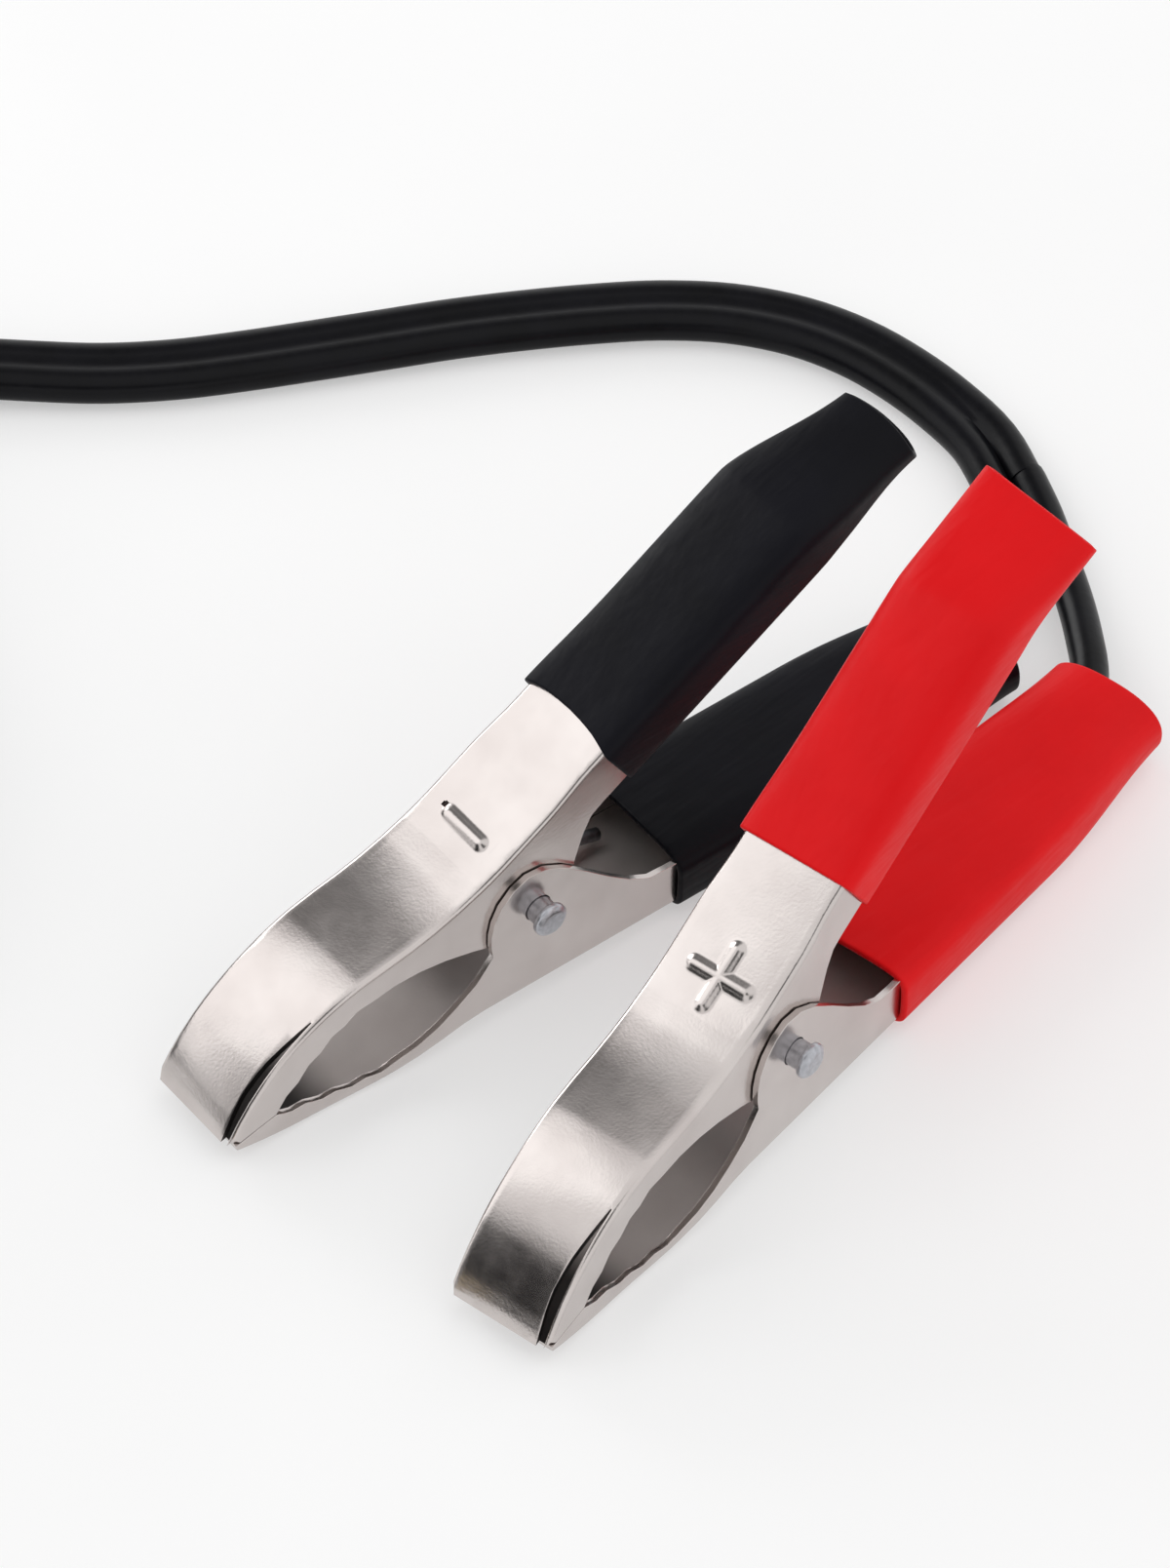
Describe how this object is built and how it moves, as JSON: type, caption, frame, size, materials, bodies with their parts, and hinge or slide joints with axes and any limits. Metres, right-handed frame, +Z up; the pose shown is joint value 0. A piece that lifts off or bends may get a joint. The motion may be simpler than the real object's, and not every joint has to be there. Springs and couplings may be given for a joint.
{
  "type": "battery clip lead",
  "caption": "Two sprung metal battery clips with red and black sleeves on a flat twin cord that is coiled up and ends in a two-pole quick connector.",
  "frame": {"origin": "bottom centre of the box round the two clips, on the surface they stand on; the cord, coil and connector are left out of that box", "axes": "+Y from the jaws' noses towards the handles, +Z up, +X from the black clip towards the red clip"},
  "size_m": [0.1532, 0.1617, 0.0369],
  "materials": {
    "nickel_sheet": "nickel plated, satin to bright",
    "rivet_steel": "satin",
    "spring_steel": "satin",
    "red_sleeve": "soft PVC, semi-gloss",
    "black_sleeve": "soft PVC, semi-gloss",
    "cord_jacket": "PVC jacket, gloss",
    "copper": "bare copper strands",
    "tinned_copper": "tinned",
    "connector_moulding": "moulded PVC, matt",
    "contact_metal": "bright",
    "tie": "matt"
  },
  "bodies": {
    "lead": {"positive_lower_jaw": "nickel_sheet", "positive_rivet": "rivet_steel", "positive_spring": "spring_steel", "positive_lower_sleeve": "red_sleeve", "positive_wire_end": "copper", "positive_ferrule": "tinned_copper", "negative_lower_jaw": "nickel_sheet", "negative_rivet": "rivet_steel", "negative_spring": "spring_steel", "negative_lower_sleeve": "black_sleeve", "negative_wire_end": "copper", "negative_ferrule": "tinned_copper", "positive_leg": "cord_jacket", "negative_leg": "cord_jacket", "twin_cord": "cord_jacket", "cord_coil": "cord_jacket", "coil_tie": "tie", "connector_tail": "cord_jacket", "strain_relief": "connector_moulding", "connector_body": "connector_moulding", "connector_pin": "contact_metal", "connector_socket": "contact_metal"},
    "positive_upper": {"positive_upper_jaw": "nickel_sheet", "positive_upper_sleeve": "red_sleeve"},
    "negative_upper": {"negative_upper_jaw": "nickel_sheet", "negative_upper_sleeve": "black_sleeve"}
  },
  "joints": [
    {"name": "positive_jaw_hinge", "type": "hinge", "parent": "lead", "child": "positive_upper", "pos_m": [0.012, -0.009, 0.01053], "axis": [-0.9927, -0.121, 0], "range_deg": [0, 32], "stiffness_Nm_per_rad": 0.15, "springref_deg": -51.57, "deforming": ["positive_spring"]},
    {"name": "negative_jaw_hinge", "type": "hinge", "parent": "lead", "child": "negative_upper", "pos_m": [-0.012, -0.0113, 0.01053], "axis": [-0.9927, 0.121, 0], "range_deg": [0, 32], "stiffness_Nm_per_rad": 0.15, "springref_deg": -51.57, "deforming": ["negative_spring"]}
  ]
}
